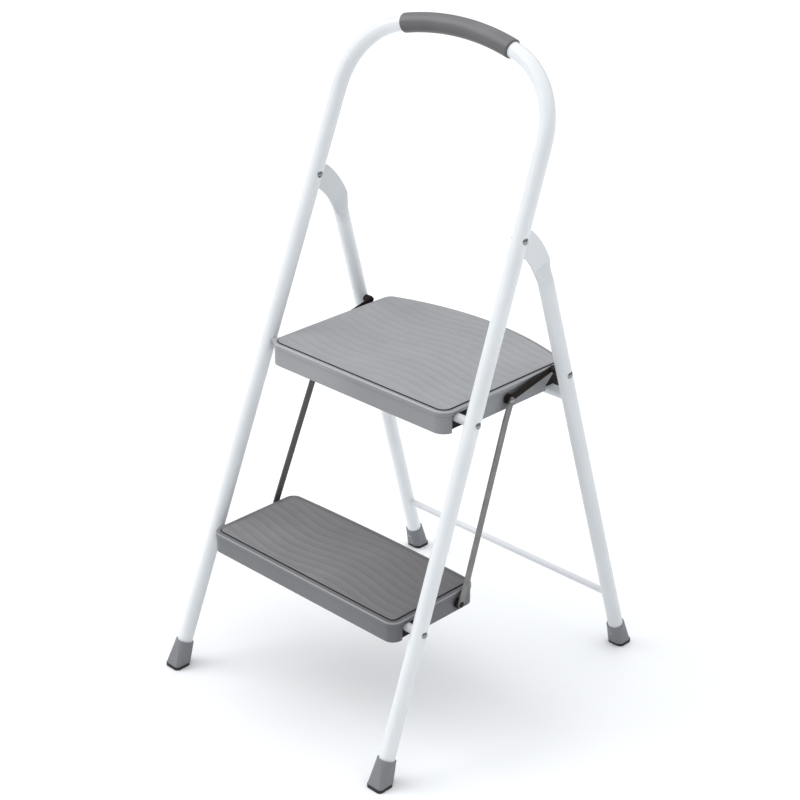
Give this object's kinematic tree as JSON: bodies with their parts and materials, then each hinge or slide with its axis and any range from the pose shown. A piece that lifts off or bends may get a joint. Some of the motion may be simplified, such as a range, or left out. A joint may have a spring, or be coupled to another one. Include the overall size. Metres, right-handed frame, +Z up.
{
  "type": "folding step stool",
  "caption": "Folding steel step stool: bent tube front frame with a hand grip, hinged rear legs and linked moulded treads that fold flat.",
  "frame": {"origin": "on the floor below the middle of the open stool's box", "axes": "+Z up, +X to the right, front of the stool faces -Y"},
  "size_m": [0.4526, 0.5444, 0.9505],
  "materials": {
    "frame": "white powder coat, satin",
    "grip": "soft matte sleeve",
    "boot": "moulded, matte",
    "foot_pad": "matte",
    "tread": "moulded, fine wavy ribs",
    "step": "moulded, satin",
    "bracket": "dark coat, satin",
    "spacer": "moulded, white",
    "dark_fitting": "dark coat, satin",
    "link": "dark grey coat, satin",
    "rivet": "plated, bright"
  },
  "bodies": {
    "front_frame": {"front_frame_tube": "frame", "hand_grip": "grip", "front_left_boot": "boot", "front_left_foot_pad": "foot_pad", "front_right_boot": "boot", "front_right_foot_pad": "foot_pad", "hinge_rivets": "rivet", "upper_pivot_rivets": "rivet", "upper_pivot_spacers": "spacer", "lower_pivot_rivets": "rivet", "lower_pivot_spacers": "spacer"},
    "rear_frame": {"right_rear_leg": "frame", "left_rear_leg": "frame", "rear_upper_bar": "frame", "rear_lower_bar": "frame", "rear_left_boot": "boot", "rear_left_foot_pad": "foot_pad", "rear_right_boot": "boot", "rear_right_foot_pad": "foot_pad", "short_link_rivets": "rivet", "short_link_spacers": "spacer", "boot_pins": "rivet"},
    "upper_step": {"upper_step_shell": "step", "upper_step_mat": "tread", "upper_step_right_bracket": "bracket", "upper_step_left_bracket": "bracket", "upper_link_pins": "rivet", "upper_link_bosses": "dark_fitting"},
    "lower_step": {"lower_step_shell": "step", "lower_step_mat": "tread", "lower_step_right_bracket": "bracket", "lower_step_left_bracket": "bracket", "lower_link_pins": "rivet", "lower_link_bosses": "dark_fitting"},
    "long_links": {"right_long_link": "link", "left_long_link": "link"},
    "short_links": {"right_short_link": "link", "left_short_link": "link", "link_end_rivets": "rivet"}
  },
  "joints": [
    {"name": "rear_frame_fold", "type": "hinge", "parent": "front_frame", "child": "rear_frame", "pos_m": [0, 0.01782, 0.70808], "axis": [-1, 0, 0], "range_deg": [0, 35.75]},
    {"name": "upper_step_fold", "type": "hinge", "parent": "front_frame", "child": "upper_step", "pos_m": [0, -0.07234, 0.47684], "axis": [1, 0, 0], "range_deg": [0, 63.5]},
    {"name": "lower_step_fold", "type": "hinge", "parent": "front_frame", "child": "lower_step", "pos_m": [0, -0.17815, 0.20544], "axis": [1, 0, 0], "range_deg": [0, 63.5]},
    {"name": "long_link_swing", "type": "hinge", "parent": "upper_step", "child": "long_links", "pos_m": [0, 0.02716, 0.47134], "axis": [-1, 0, 0], "range_deg": [0, 63.5]},
    {"name": "short_link_swing", "type": "hinge", "parent": "upper_step", "child": "short_links", "pos_m": [0, 0.02716, 0.47134], "axis": [-1, 0, 0], "range_deg": [0, 171.1]}
  ],
  "couplings": [
    {"joint": "upper_step_fold", "follows": "rear_frame_fold", "ratio": 1.7762},
    {"joint": "lower_step_fold", "follows": "rear_frame_fold", "ratio": 1.7762},
    {"joint": "long_link_swing", "follows": "rear_frame_fold", "ratio": 1.7762},
    {"joint": "short_link_swing", "follows": "rear_frame_fold", "ratio": 4.786}
  ]
}
